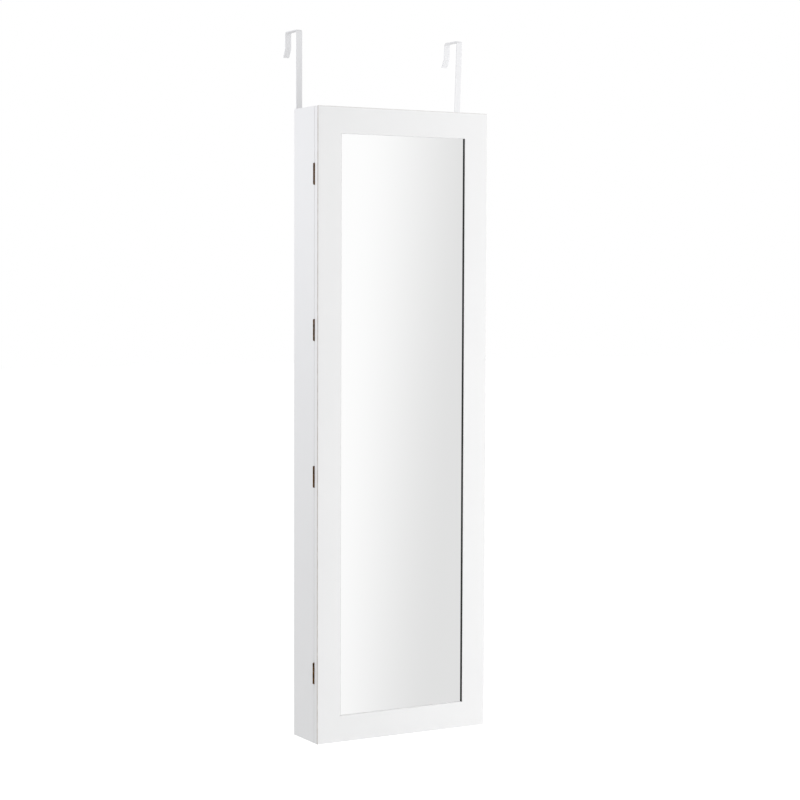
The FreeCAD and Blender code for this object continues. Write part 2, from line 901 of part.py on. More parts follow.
def is_round_opening(edge):
    middle = edge.BoundBox.Center
    beside = opening_left <= middle.x <= opening_right
    return beside and opening_low <= middle.z <= opening_high


def door_frame():
    # the whole frame, rounded and rebated, before it is parted into stiles and rails
    shape = block(left_x, right_x, front_y, door_back_y, base_z, top_z)
    shape = shape.makeFillet(arris, shape.Edges)
    through = (front_y - overcut, door_back_y + overcut)
    shape = shape.cut(block(opening_left, opening_right, *through, opening_low, opening_high))
    inner = [e for e in edges_where(shape, lambda p: near(p.y, front_y)) if is_round_opening(e)]
    shape = shape.makeFillet(arris, inner)
    rebate = block(rebate_left, rebate_right, glass_y, through[1], rebate_low, rebate_high)
    return shape.cut(rebate)


def door_dowels(play=0.0, end_play=0.0):
    seam_x = cabinet_width / 2 - stile_width
    length = door_dowel_length + 2 * end_play
    return dowels(door_dowel_places(), seam_x, length / 2, door_dowel_radius + play, length)


def door_dowel_holes():
    return door_dowels(dowel_play, dowel_end_play)


def lining_screw_places():
    # on the stiles and rails, just inside the lining's edge
    half_x = (rebate_right - rebate_left) / 2 + lining_overlap / 2
    half_z = (rebate_high - rebate_low) / 2 + lining_overlap / 2
    heights = spread(-half_z + back_screw_margin, half_z - back_screw_margin, side_screw_count)
    places = [(side * half_x, z) for side in (-1, 1) for z in heights]
    places += [(0.0, -half_z), (0.0, half_z)]
    return [FreeCAD.Vector(x, door_lining_y, z) for x, z in places]


def lining_screw_holes():
    return screw_holes(lining_screw_places(), forward, hinge_screw)


def stile(x_low, x_high):
    shape = door_frame().common(block(x_low, x_high, front_y, door_back_y, base_z, top_z))
    return cut_all(shape, door_dowel_holes() + lining_screw_holes())


def stile_left():
    floor_y, seat_y = door_leaf_y()
    cutters = []
    for centre in hinge_heights:
        cutters += hinge_recess(centre, door_back_y + overcut, floor_y)
        cutters += screw_holes(leaf_screw_points(centre, seat_y), forward, hinge_screw)
    return cut_all(stile(left_x, opening_left), cutters)


def stile_right():
    holes = screw_holes(strike_screw_points(), forward, hinge_screw)
    return cut_all(stile(opening_right, right_x), holes)


def door_rail(z_low, z_high):
    member = block(opening_left, opening_right, front_y, door_back_y, z_low, z_high)
    shape = door_frame().common(member)
    return cut_all(shape, door_dowel_holes() + lining_screw_holes())


def rebate_sheet(y_low, y_high):
    low_x = rebate_left + mirror_play
    high_x = rebate_right - mirror_play
    low_z = rebate_low + mirror_play
    high_z = rebate_high - mirror_play
    return block(low_x, high_x, y_low, y_high, low_z, high_z)


def mirror_seals():
    reach = (front_y + seal_setback, glass_y, opening_low, opening_high)
    left = block(opening_left, opening_left + seal_thickness, *reach)
    right = block(opening_right - seal_thickness, opening_right, *reach)
    return Part.Compound([left, right])


def door_lining():
    low_x = rebate_left - lining_overlap
    high_x = rebate_right + lining_overlap
    low_z = rebate_low - lining_overlap
    high_z = rebate_high + lining_overlap
    shape = block(low_x, high_x, door_back_y, door_lining_y, low_z, high_z)
    return cut_all(shape, lining_screw_holes())


def earring_rail(height):
    low_x = -earring_rail_length / 2
    high_x = earring_rail_length / 2
    low_y = door_lining_y + earring_rail_standoff
    high_z = height + earring_rail_height / 2
    low_z = height - earring_rail_height / 2
    shape = block(low_x, high_x, low_y, low_y + earring_rail_thickness, low_z, high_z)
    slots = []
    half = earring_slot_width / 2
    slot_z = (high_z - earring_slot_depth, high_z + overcut)
    slot_y = (low_y - overcut, low_y + earring_rail_thickness + overcut)
    for x in spread(low_x + earring_slot_margin, high_x - earring_slot_margin, earring_slot_count):
        slots.append(block(x - half, x + half, *slot_y, *slot_z))
    return cut_all(shape, slots)


def earring_spacers():
    # a block behind each end of every earring rail
    blocks = []
    half = earring_rail_height / 2
    high_y = door_lining_y + earring_rail_standoff
    for height in earring_rail_heights():
        for side in (-1, 1):
            outer = side * earring_rail_length / 2
            inner = outer - side * earring_spacer_width
            low_x = min(outer, inner)
            high_x = max(outer, inner)
            blocks.append(block(low_x, high_x, door_lining_y, high_y, height - half, height + half))
    return Part.Compound(blocks)


def all_nodes():
    nodes = {
        "side_panel_left": side_panel_left(),
        "side_panel_right": side_panel_right(),
        "top_panel": end_panel(ceiling_z, top_z),
        "bottom_panel": end_panel(base_z, floor_z),
        "back_panel": back_panel(),
        "back_lining": back_lining(),
        "back_panel_screws": back_panel_screws(),
        "carcass_dowels": Part.Compound(carcass_dowels()),
        "shelf_pads": shelf_pads(),
        "shelf_pins": shelf_pins(),
        "ring_ledge_lower": shelf(lower_ledge_z, ledge_depth),
        "ring_ledge_upper": shelf(upper_ledge_z, ledge_depth),
        "ring_cushion": ring_cushion(),
        "bracelet_rod": cross_rod(bracelet_rod_place(), bracelet_rod_radius),
        "peg_rail": peg_rail(),
        "necklace_pegs": pegs(),
        "catch_housing": catch_housing(),
        "catch_magnet": catch_magnet(),
        "catch_screws": screws_with_drive(catch_screw_points(), across, catch_screw),
        "door_hook_left": strap(-1),
        "door_hook_right": strap(1),
        "door_hook_screws": strap_screw_group(),
        "back_pads": back_pads(),
        "door_bumpers": bumpers(),
        "door_stile_left": stile_left(),
        "door_stile_right": stile_right(),
        "door_rail_top": door_rail(opening_high, top_z),
        "door_rail_bottom": door_rail(base_z, opening_low),
        "door_dowels": Part.Compound(door_dowels()),
        "mirror_pane": rebate_sheet(glass_y, backing_y),
        "mirror_backing": rebate_sheet(backing_y, door_back_y),
        "mirror_seals": mirror_seals(),
        "door_lining": door_lining(),
        "lining_screws": screws_with_drive(lining_screw_places(), forward, hinge_screw),
        "earring_spacers": earring_spacers(),
        "strike_plate": strike_plate(),
        "strike_screws": screws_with_drive(strike_screw_points(), forward, hinge_screw),
        "hinge_pins": Part.Compound([hinge_pin(centre) for centre in hinge_heights]),
    }
    for index, height in enumerate(board_heights()[:shelf_count]):
        nodes[f"shelf_{index + 1}"] = shelf(height, shelf_depth)
    for index, place in enumerate(guard_rod_places()):
        nodes[f"guard_rod_{index + 1}"] = cross_rod(place, guard_rod_radius)
    for index, height in enumerate(earring_rail_heights()):
        nodes[f"earring_rail_{index + 1}"] = earring_rail(height)
    carcass_points = []
    door_points = []
    for index, centre in enumerate(hinge_heights):
        nodes[f"hinge_leaf_carcass_{index + 1}"] = carcass_leaf(centre)
        nodes[f"hinge_leaf_door_{index + 1}"] = door_leaf(centre)
        carcass_points += leaf_screw_points(centre, carcass_leaf_y()[0])
        door_points += leaf_screw_points(centre, door_leaf_y()[1])
    nodes["hinge_screws_carcass"] = screws_with_drive(carcass_points, backward, hinge_screw)
    nodes["hinge_screws_door"] = screws_with_drive(door_points, forward, hinge_screw)
    return nodes


os.makedirs("parts", exist_ok=True)
for name, shape in all_nodes().items():
    shape.exportStep(f"parts/{name}.step")
    print(f"{name}: {len(shape.Solids)} solids, {shape.Volume:.1f} mm3, valid {shape.isValid()}")
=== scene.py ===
import json
import math

import bpy
import numpy as np
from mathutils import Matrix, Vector


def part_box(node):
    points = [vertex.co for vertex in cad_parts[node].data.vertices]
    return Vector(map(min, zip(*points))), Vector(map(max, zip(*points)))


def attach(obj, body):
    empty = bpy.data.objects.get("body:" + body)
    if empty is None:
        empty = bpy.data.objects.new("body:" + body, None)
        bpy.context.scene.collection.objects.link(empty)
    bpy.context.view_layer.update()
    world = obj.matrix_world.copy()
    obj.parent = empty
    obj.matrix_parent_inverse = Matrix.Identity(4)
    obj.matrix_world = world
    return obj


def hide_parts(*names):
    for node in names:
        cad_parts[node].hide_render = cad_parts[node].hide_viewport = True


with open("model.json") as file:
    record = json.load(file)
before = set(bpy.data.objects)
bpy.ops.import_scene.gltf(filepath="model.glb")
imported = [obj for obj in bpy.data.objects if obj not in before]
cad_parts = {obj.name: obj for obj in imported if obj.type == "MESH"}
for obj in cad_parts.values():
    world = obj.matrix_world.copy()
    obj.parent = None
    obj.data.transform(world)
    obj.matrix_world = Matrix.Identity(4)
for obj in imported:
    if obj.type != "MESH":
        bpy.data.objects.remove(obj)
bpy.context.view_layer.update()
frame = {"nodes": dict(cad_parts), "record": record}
nodes = frame["nodes"]
print("frame loaded:", len(nodes), "nodes")

# node helpers


def add(tree, kind, values=None, **settings):
    # one shader node: settings are its own options, values are socket numbers or links
    made = tree.nodes.new("ShaderNode" + kind)
    for key, value in settings.items():
        setattr(made, key, value)
    for key, value in (values or {}).items():
        if isinstance(value, bpy.types.NodeSocket):
            tree.links.new(value, made.inputs[key])
        else:
            made.inputs[key].default_value = value
    return made


def maths(tree, operation, first, second=0.0, clamp=False):
    made = add(tree, "Math", {0: first, 1: second}, operation=operation, use_clamp=clamp)
    return made.outputs[0]


def remap(tree, value, low, high, toLow=0.0, toHigh=1.0, smooth=False):
    kind = "SMOOTHSTEP" if smooth else "LINEAR"
    values = {"Value": value, "From Min": low, "From Max": high, "To Min": toLow, "To Max": toHigh}
    return add(tree, "MapRange", values, interpolation_type=kind).outputs["Result"]


def noise(tree, place, scale, detail=3.0, roughness=0.5, distortion=0.0):
    values = {"Vector": place, "Scale": scale, "Detail": detail}
    values.update({"Roughness": roughness, "Distortion": distortion})
    return add(tree, "TexNoise", values).outputs["Fac"]


def addShare(tree, base, mask, share):
    # base plus that share of a mask
    return maths(tree, "ADD", base, maths(tree, "MULTIPLY", mask, share))


def mixColour(tree, factor, first, second):
    # first where factor is 0, second where it is 1
    return add(tree, "Mix", {0: factor, 6: first, 7: second}, data_type="RGBA").outputs[2]


def stretch(tree, place, scale):
    return add(tree, "VectorMath", {0: place, 1: scale}, operation="MULTIPLY").outputs[0]


def startGroup(name, inputs, outputs):
    # a shader node group with float inputs besides its Place vector
    group = bpy.data.node_groups.new(name, "ShaderNodeTree")
    group.interface.new_socket(name="Place", in_out="INPUT", socket_type="NodeSocketVector")
    for label, value in inputs.items():
        made = group.interface.new_socket(name=label, in_out="INPUT", socket_type="NodeSocketFloat")
        made.default_value = value
    for label in outputs:
        group.interface.new_socket(name=label, in_out="OUTPUT", socket_type="NodeSocketFloat")
    entry = group.nodes.new("NodeGroupInput")
    leave = group.nodes.new("NodeGroupOutput")
    return group, entry.outputs, leave.inputs


def use(tree, group, values):
    made = tree.nodes.new("ShaderNodeGroup")
    made.node_tree = group
    for key, value in values.items():
        if isinstance(value, bpy.types.NodeSocket):
            tree.links.new(value, made.inputs[key])
        else:
            made.inputs[key].default_value = value
    return made.outputs


# shared effects


def makePaintSkin():
    # sprayed coat: fine dimples, a slower roll of the film and faint changes of tone
    group, given, out = startGroup("paintSkin", {"Dimple": 700.0, "Roll": 35.0}, ["Tone", "Gloss", "Height"])
    link = group.links.new
    fine = noise(group, given["Place"], given["Dimple"], 2.0, 0.55)
    slow = noise(group, given["Place"], given["Roll"], 3.0, 0.5)
    cloud = noise(group, given["Place"], 4.0, 4.0, 0.55)
    link(remap(group, cloud, 0.3, 0.7), out["Tone"])
    link(remap(group, maths(group, "ADD", slow, fine), 0.6, 1.4, -1.0, 1.0), out["Gloss"])
    link(maths(group, "ADD", fine, maths(group, "MULTIPLY", slow, 1.6)), out["Height"])
    return group


def makeArrisShadeLine():
    # painted edge shade on the door's front edges, a dark line standing in for the shade along them: 1 on
    # its hinge side, Upper along its top, 0 a little way off
    inputs = {"SideX": -0.185, "FrontY": -0.098, "TopZ": 0.6, "Width": 0.001, "Upper": 0.4}
    group, given, out = startGroup("arrisShadeLine", inputs, ["Mask"])
    parts = add(group, "SeparateXYZ", {0: given["Place"]}).outputs
    gaps = {}
    for axis, face in (("X", "SideX"), ("Y", "FrontY"), ("Z", "TopZ")):
        gaps[axis] = maths(group, "ABSOLUTE", maths(group, "SUBTRACT", parts[axis], given[face]))
    waver = noise(group, given["Place"], 60.0, 4.0, 0.6)
    lines = []
    for axis in "XZ":
        edge = maths(group, "DIVIDE", maths(group, "ADD", gaps[axis], gaps["Y"]), given["Width"])
        lines.append(remap(group, edge, 0.25, 1.3, 1.0, 0.0, smooth=True))
    both = maths(group, "MAXIMUM", lines[0], maths(group, "MULTIPLY", lines[1], given["Upper"]))
    group.links.new(maths(group, "MULTIPLY", both, remap(group, waver, 0.25, 0.6, 0.6, 1.0)), out["Mask"])
    return group


def makeFibreNap():
    # short pile: fibres, tufts that crush together, and brushed patches that lean one way
    inputs = {"Fibre": 2600.0, "Tuft": 420.0, "Patch": 22.0}
    group, given, out = startGroup("fibreNap", inputs, ["Tone", "Lean", "Height"])
    link = group.links.new
    fibre = noise(group, stretch(group, given["Place"], (1.0, 1.0, 0.45)), given["Fibre"], 3.0, 0.65)
    tuft = noise(group, stretch(group, given["Place"], (1.0, 1.0, 0.35)), given["Tuft"], 4.0, 0.7)
    patch = noise(group, stretch(group, given["Place"], (1.0, 1.0, 0.4)), given["Patch"], 5.0, 0.62)
    mixed = maths(group, "ADD", maths(group, "MULTIPLY", fibre, 0.4), maths(group, "MULTIPLY", tuft, 0.6))
    link(remap(group, patch, 0.3, 0.7, smooth=True), out["Lean"])
    link(remap(group, mixed, 0.36, 0.64), out["Tone"])
    swell = maths(group, "ADD", tuft, maths(group, "MULTIPLY", patch, 0.5))
    link(maths(group, "ADD", fibre, swell), out["Height"])
    return group


def makeMetalWear():
    # rolled metal: blotches of tarnish, fine scratches along one way, and small pits
    inputs = {"Blotch": 260.0, "Scratch": 900.0}
    group, given, out = startGroup("metalWear", inputs, ["Tarnish", "Scratch", "Height"])
    link = group.links.new
    blotch = noise(group, given["Place"], given["Blotch"], 5.0, 0.6, 0.4)
    lined = noise(group, stretch(group, given["Place"], (1.0, 1.0, 0.04)), given["Scratch"], 3.0, 0.6)
    pits = noise(group, given["Place"], 3200.0, 2.0, 0.5)
    link(remap(group, blotch, 0.35, 0.62, smooth=True), out["Tarnish"])
    link(remap(group, lined, 0.42, 0.66), out["Scratch"])
    link(maths(group, "ADD", maths(group, "MULTIPLY", lined, 0.6), pits), out["Height"])
    return group


def makeBoardFibre():
    # wood fibre: long grain drawn along one way, with flecks across it
    inputs = {"Grain": 260.0, "Fleck": 900.0}
    group, given, out = startGroup("boardFibre", inputs, ["Grain", "Fleck", "Height"])
    link = group.links.new
    long = noise(group, stretch(group, given["Place"], (0.07, 1.0, 1.0)), given["Grain"], 5.0, 0.6, 0.3)
    fleck = noise(group, given["Place"], given["Fleck"], 2.0, 0.7)
    link(remap(group, long, 0.3, 0.7), out["Grain"])
    link(remap(group, fleck, 0.55, 0.75), out["Fleck"])
    link(maths(group, "ADD", long, maths(group, "MULTIPLY", fleck, 0.4)), out["Height"])
    return group


def makeTouchMarks():
    # faint wipes and dust: broad soft streaks broken up by fine specks
    group, given, out = startGroup("touchMarks", {"Streak": 9.0, "Speck": 1500.0}, ["Wipe", "Dust"])
    wipe = noise(group, stretch(group, given["Place"], (1.0, 1.0, 0.3)), given["Streak"], 5.0, 0.6, 1.2)
    speck = noise(group, given["Place"], given["Speck"], 1.0, 0.5)
    group.links.new(remap(group, wipe, 0.45, 0.75, smooth=True), out["Wipe"])
    group.links.new(remap(group, speck, 0.68, 0.78), out["Dust"])
    return group


paintSkin = makePaintSkin()
arrisShadeLine = makeArrisShadeLine()
fibreNap = makeFibreNap()
metalWear = makeMetalWear()
boardFibre = makeBoardFibre()
touchMarks = makeTouchMarks()
print("shared effects made:", len(bpy.data.node_groups))

# materials


def startMaterial(name, **fixed):
    # fixed numbers go on the shader's own sockets
    made = bpy.data.materials.new(name)
    made.use_nodes = True
    tree = made.node_tree
    tree.nodes.clear()
    shader = tree.nodes.new("ShaderNodeBsdfPrincipled")
    leave = tree.nodes.new("ShaderNodeOutputMaterial")
    tree.links.new(shader.outputs[0], leave.inputs[0])
    for label, value in fixed.items():
        shader.inputs[label.replace("_", " ")].default_value = value
    place = tree.nodes.new("ShaderNodeTexCoord").outputs["Object"]
    return made, tree, shader, place


def dress(tree, shader, colour, roughness, height, depth, strength=1.0):
    # colour and roughness into the shader, height as a bump of that many metres
    tree.links.new(colour, shader.inputs["Base Color"])
    tree.links.new(roughness, shader.inputs["Roughness"])
    bump = add(tree, "Bump", {"Height": height, "Distance": depth, "Strength": strength})
    tree.links.new(bump.outputs["Normal"], shader.inputs["Normal"])


def rgb(red, green, blue):
    return (red, green, blue, 1.0)


whitePaintLook = {
    "light": rgb(0.866, 0.865, 0.862),
    "deep": rgb(0.847, 0.847, 0.846),
    # painted shade: the dark colour of the line along the door's hinge-side and top front edges
    "arris": rgb(0.40, 0.35, 0.30),
    "arrisWidth": 0.0014,
    "arrisShare": 0.9,
    "roughness": 0.36,
    "glossSwing": 0.035,
    "wipeSwing": 0.04,
    "bump": 0.000016,
}


def makeWhitePaint(look):
    made, tree, shader, place = startMaterial("whitePaint", Specular_IOR_Level=0.45)
    skin = use(tree, paintSkin, {"Place": place})
    # painted shade: a dark line mixed into the paint along the door's hinge-side and top front edges
    line = use(tree, arrisShadeLine, {"Place": place, "Width": look["arrisWidth"]})["Mask"]
    marks = use(tree, touchMarks, {"Place": place})
    colour = mixColour(tree, skin["Tone"], look["deep"], look["light"])
    colour = mixColour(tree, maths(tree, "MULTIPLY", line, look["arrisShare"]), colour, look["arris"])
    rough = addShare(tree, look["roughness"], skin["Gloss"], look["glossSwing"])
    rough = addShare(tree, rough, marks["Wipe"], look["wipeSwing"])
    dress(tree, shader, colour, rough, skin["Height"], look["bump"])
    return made


thinBoardLook = {
    "face": rgb(0.80, 0.80, 0.785),
    "shade": rgb(0.74, 0.735, 0.71),
    "fleck": rgb(0.55, 0.50, 0.43),
    "fleckShare": 0.22,
    "roughness": 0.62,
    "swing": 0.12,
    "bump": 0.00006,
}


def makeThinBoard(look):
    made, tree, shader, place = startMaterial("thinBoard", Specular_IOR_Level=0.3)
    fibre = use(tree, boardFibre, {"Place": place, "Grain": 180.0})
    skin = use(tree, paintSkin, {"Place": place, "Dimple": 1100.0})
    colour = mixColour(tree, skin["Tone"], look["shade"], look["face"])
    flecked = maths(tree, "MULTIPLY", fibre["Fleck"], look["fleckShare"])
    colour = mixColour(tree, flecked, colour, look["fleck"])
    rough = remap(tree, fibre["Grain"], 0.0, 1.0, look["roughness"], look["roughness"] + look["swing"])
    dress(tree, shader, colour, rough, fibre["Height"], look["bump"])
    return made


velvetLook = {
    "pile": rgb(0.012, 0.012, 0.014),
    "lean": rgb(0.019, 0.0185, 0.022),
    "tip": rgb(0.062, 0.060, 0.070),
    "tipShare": 0.45,
    "roughness": 0.88,
    "swing": 0.06,
    "bump": 0.00035,
}


def makeVelvet(look):
    fixed = {"Sheen_Weight": 0.55, "Sheen_Roughness": 0.35, "Sheen_Tint": rgb(0.75, 0.75, 0.85)}
    made, tree, shader, place = startMaterial("velvet", Specular_IOR_Level=0.15, **fixed)
    nap = use(tree, fibreNap, {"Place": place})
    colour = mixColour(tree, nap["Lean"], look["pile"], look["lean"])
    colour = mixColour(tree, maths(tree, "MULTIPLY", nap["Tone"], look["tipShare"]), colour, look["tip"])
    low, high = look["roughness"] - look["swing"], look["roughness"] + look["swing"]
    rough = remap(tree, nap["Lean"], 0.0, 1.0, low, high)
    dress(tree, shader, colour, rough, nap["Height"], look["bump"])
    return made


mirrorLook = {
    "silver": rgb(0.984, 0.986, 0.985),
    "haze": rgb(0.965, 0.968, 0.967),
    "roughness": 0.006,
    "wipeSwing": 0.010,
    "dustSwing": 0.03,
    "wave": 3.5,
    "bump": 0.00012,
    "bumpShare": 0.25,
}


def makeSilveredGlass(look):
    made, tree, shader, place = startMaterial("silveredGlass", Metallic=1.0, IOR=1.52)
    marks = use(tree, touchMarks, {"Place": place})
    waver = noise(tree, place, look["wave"], 2.0, 0.4)
    colour = mixColour(tree, marks["Dust"], look["silver"], look["haze"])
    wiped = maths(tree, "MULTIPLY", marks["Wipe"], look["wipeSwing"])
    haze = addShare(tree, wiped, marks["Dust"], look["dustSwing"])
    rough = maths(tree, "ADD", look["roughness"], haze)
    dress(tree, shader, colour, rough, waver, look["bump"], look["bumpShare"])
    return made


sealLook = {
    "foam": rgb(0.006, 0.006, 0.006),
    "skin": rgb(0.018, 0.018, 0.019),
    "roughness": 0.6,
    "glossSwing": 0.1,
    "bump": 0.00006,
}


def makeBlackSeal(look):
    made, tree, shader, place = startMaterial("blackSeal", Specular_IOR_Level=0.3)
    skin = use(tree, paintSkin, {"Place": place, "Dimple": 2400.0, "Roll": 300.0})
    colour = mixColour(tree, skin["Tone"], look["foam"], look["skin"])
    rough = addShare(tree, look["roughness"], skin["Gloss"], look["glossSwing"])
    dress(tree, shader, colour, rough, skin["Height"], look["bump"])
    return made


bronzeLook = {
    "dark": rgb(0.012, 0.006, 0.002),
    "warm": rgb(0.115, 0.052, 0.016),
    "rub": rgb(0.26, 0.155, 0.065),
    "rubShare": 0.35,
    "tint": rgb(0.72, 0.48, 0.28),  # of the reflection at the edges
    "roughness": 0.42,
    "dullSwing": 0.14,
    "shineSwing": 0.08,
    "leastMetal": 0.75,
    "bump": 0.00004,
}


def makeBronze(look):
    fixed = {"Specular_IOR_Level": 0.3, "Specular_Tint": look["tint"]}
    made, tree, shader, place = startMaterial("antiqueBronze", **fixed)
    wear = use(tree, metalWear, {"Place": place})
    colour = mixColour(tree, wear["Tarnish"], look["dark"], look["warm"])
    rubbed = maths(tree, "MULTIPLY", wear["Scratch"], look["rubShare"])
    colour = mixColour(tree, rubbed, colour, look["rub"])
    dull, shiny = look["roughness"] + look["dullSwing"], look["roughness"] - look["shineSwing"]
    rough = remap(tree, wear["Tarnish"], 0.0, 1.0, dull, shiny)
    metal = remap(tree, wear["Tarnish"], 0.0, 1.0, look["leastMetal"], 1.0)
    tree.links.new(metal, shader.inputs["Metallic"])
    dress(tree, shader, colour, rough, wear["Height"], look["bump"])
    return made


powderLook = {
    # painted shade: the left strap's colours are a darker copy of the right's, the same coat shown as if in
    # less light
    "left": {"coat": rgb(0.81, 0.81, 0.82), "thin": rgb(0.765, 0.765, 0.775)},
    "right": {"coat": rgb(0.87, 0.87, 0.88), "thin": rgb(0.83, 0.83, 0.84)},
    "roughness": 0.42,
    "glossSwing": 0.08,
    "bump": 0.00005,
}


# side picks the right strap's colours or the left's darker painted-shade copy of them
def makePowderCoat(name, look, side):
    made, tree, shader, place = startMaterial(name, Specular_IOR_Level=0.5)
    skin = use(tree, paintSkin, {"Place": place, "Dimple": 1300.0, "Roll": 160.0})
    colour = mixColour(tree, skin["Tone"], look[side]["thin"], look[side]["coat"])
    rough = addShare(tree, look["roughness"], skin["Gloss"], look["glossSwing"])
    dress(tree, shader, colour, rough, skin["Height"], look["bump"])
    return made


zincLook = {
    "light": rgb(0.72, 0.73, 0.75),
    "dull": rgb(0.50, 0.51, 0.53),
    "cells": 900.0,
    "roughness": 0.34,
    "spangleSwing": 0.16,
    "bump": 0.00002,
}


def makeZinc(look):
    made, tree, shader, place = startMaterial("zincPlate", Metallic=1.0)
    cells = add(tree, "TexVoronoi", {"Vector": place, "Scale": look["cells"]}).outputs["Color"]
    spangle = add(tree, "SeparateColor", {0: cells}).outputs[0]
    wear = use(tree, metalWear, {"Place": place, "Blotch": 420.0})
    colour = mixColour(tree, wear["Tarnish"], look["light"], look["dull"])
    rough = addShare(tree, look["roughness"], spangle, look["spangleSwing"])
    dress(tree, shader, colour, rough, wear["Height"], look["bump"])
    return made


blackOxideLook = {
    "oxide": rgb(0.016, 0.016, 0.018),
    "bare": rgb(0.10, 0.10, 0.105),
    "bareShare": 0.5,
    "roughness": 0.40,
    "swing": 0.18,
    "bump": 0.00002,
}


def makeBlackOxide(look):
    made, tree, shader, place = startMaterial("blackOxide", Metallic=0.85)
    wear = use(tree, metalWear, {"Place": place, "Blotch": 500.0})
    bared = maths(tree, "MULTIPLY", wear["Scratch"], look["bareShare"])
    colour = mixColour(tree, bared, look["oxide"], look["bare"])
    rough = remap(tree, wear["Tarnish"], 0.0, 1.0, look["roughness"], look["roughness"] + look["swing"])
    dress(tree, shader, colour, rough, wear["Height"], look["bump"])
    return made


steelLook = {
    "bright": rgb(0.60, 0.60, 0.61),
    "grey": rgb(0.45, 0.455, 0.47),
    "roughness": 0.13,
    "swing": 0.12,
    "bump": 0.000008,
}


def makePolishedSteel(look):
    # drawn bar: the scratches run along X, so the place is turned for the wear's own Z
    made, tree, shader, place = startMaterial("polishedSteel", Metallic=1.0)
    parts = add(tree, "SeparateXYZ", {0: place}).outputs
    turned = add(tree, "CombineXYZ", {0: parts["Y"], 1: parts["Z"], 2: parts["X"]}).outputs[0]
    wear = use(tree, metalWear, {"Place": turned, "Blotch": 90.0, "Scratch": 1800.0})
    colour = mixColour(tree, wear["Tarnish"], look["bright"], look["grey"])
    rough = remap(tree, wear["Scratch"], 0.0, 1.0, look["roughness"], look["roughness"] + look["swing"])
    dress(tree, shader, colour, rough, wear["Height"], look["bump"])
    return made


goldLook = {
    "gold": rgb(0.86, 0.62, 0.27),
    "rose": rgb(0.74, 0.49, 0.21),
    "roughness": 0.18,
    "swing": 0.14,
    "bump": 0.00001,
}


def makeGold(look):
    made, tree, shader, place = startMaterial("goldPlate", Metallic=1.0)
    wear = use(tree, metalWear, {"Place": place, "Blotch": 300.0})
    colour = mixColour(tree, wear["Tarnish"], look["gold"], look["rose"])
    rough = remap(tree, wear["Scratch"], 0.0, 1.0, look["roughness"], look["roughness"] + look["swing"])
    dress(tree, shader, colour, rough, wear["Height"], look["bump"])
    return made


beechLook = {
    "pale": rgb(0.62, 0.42, 0.25),
    "dark": rgb(0.42, 0.25, 0.13),
    "fleckShare": 0.35,
    "roughness": 0.6,
    "swing": 0.15,
    "bump": 0.0001,
}


def makeBeech(look):
    made, tree, shader, place = startMaterial("beech", Specular_IOR_Level=0.3)
    fibre = use(tree, boardFibre, {"Place": place, "Grain": 700.0, "Fleck": 1600.0})
    colour = mixColour(tree, fibre["Grain"], look["pale"], look["dark"])
    flecked = maths(tree, "MULTIPLY", fibre["Fleck"], look["fleckShare"])
    colour = mixColour(tree, flecked, colour, look["dark"])
    rough = remap(tree, fibre["Grain"], 0.0, 1.0, look["roughness"], look["roughness"] + look["swing"])
    dress(tree, shader, colour, rough, fibre["Height"], look["bump"])
    return made


plasticLook = {
    "catch": {"light": rgb(0.70, 0.69, 0.66), "deep": rgb(0.64, 0.63, 0.60), "roughness": 0.42},
    "rail": {"light": rgb(0.80, 0.80, 0.79), "deep": rgb(0.76, 0.765, 0.765), "roughness": 0.28},
    "glossSwing": 0.05,
    "wipeSwing": 0.06,
    "bump": 0.00002,
}


def makePlastic(name, look, kind):
    # moulded plastic: fine spark-eroded texture with slow flow marks
    made, tree, shader, place = startMaterial(name, Specular_IOR_Level=0.5)
    skin = use(tree, paintSkin, {"Place": place, "Dimple": 2600.0, "Roll": 70.0})
    marks = use(tree, touchMarks, {"Place": place, "Streak": 40.0})
    colour = mixColour(tree, skin["Tone"], look[kind]["deep"], look[kind]["light"])
    rough = addShare(tree, look[kind]["roughness"], skin["Gloss"], look["glossSwing"])
    rough = addShare(tree, rough, marks["Wipe"], look["wipeSwing"])
    dress(tree, shader, colour, rough, skin["Height"], look["bump"])
    return made


magnetLook = {
    "grey": rgb(0.060, 0.060, 0.064),
    "chip": rgb(0.15, 0.15, 0.155),
    "chipShare": 0.35,
    "roughness": 0.55,
    "glossSwing": 0.08,
    "bump": 0.00005,
}


def makeMagnet(look):
    made, tree, shader, place = startMaterial("ferrite", Metallic=0.3)
    skin = use(tree, paintSkin, {"Place": place, "Dimple": 3000.0, "Roll": 500.0})
    wear = use(tree, metalWear, {"Place": place, "Blotch": 900.0})
    chipped = maths(tree, "MULTIPLY", wear["Scratch"], look["chipShare"])
    colour = mixColour(tree, chipped, look["grey"], look["chip"])
    rough = addShare(tree, look["roughness"], skin["Gloss"], look["glossSwing"])
    dress(tree, shader, colour, rough, skin["Height"], look["bump"])
    return made


feltLook = {
    "wool": rgb(0.60, 0.59, 0.56),
    "shade": rgb(0.44, 0.43, 0.41),
    "roughness": 0.95,
    "swing": 0.08,
    "bump": 0.0004,
}


def makeFelt(look):
    fixed = {"Sheen_Weight": 0.3, "Sheen_Roughness": 0.5}
    made, tree, shader, place = startMaterial("felt", Specular_IOR_Level=0.1, **fixed)
    nap = use(tree, fibreNap, {"Place": place, "Fibre": 1500.0, "Patch": 120.0})
    colour = mixColour(tree, nap["Tone"], look["shade"], look["wool"])
    rough = remap(tree, nap["Lean"], 0.0, 1.0, look["roughness"] - look["swing"], look["roughness"])
    dress(tree, shader, colour, rough, nap["Height"], look["bump"])
    return made


rubberLook = {
    "clear": rgb(0.93, 0.94, 0.93),
    "dusty": rgb(0.82, 0.83, 0.82),
    "roughness": 0.16,
    "glossSwing": 0.05,
    "bump": 0.00003,
}


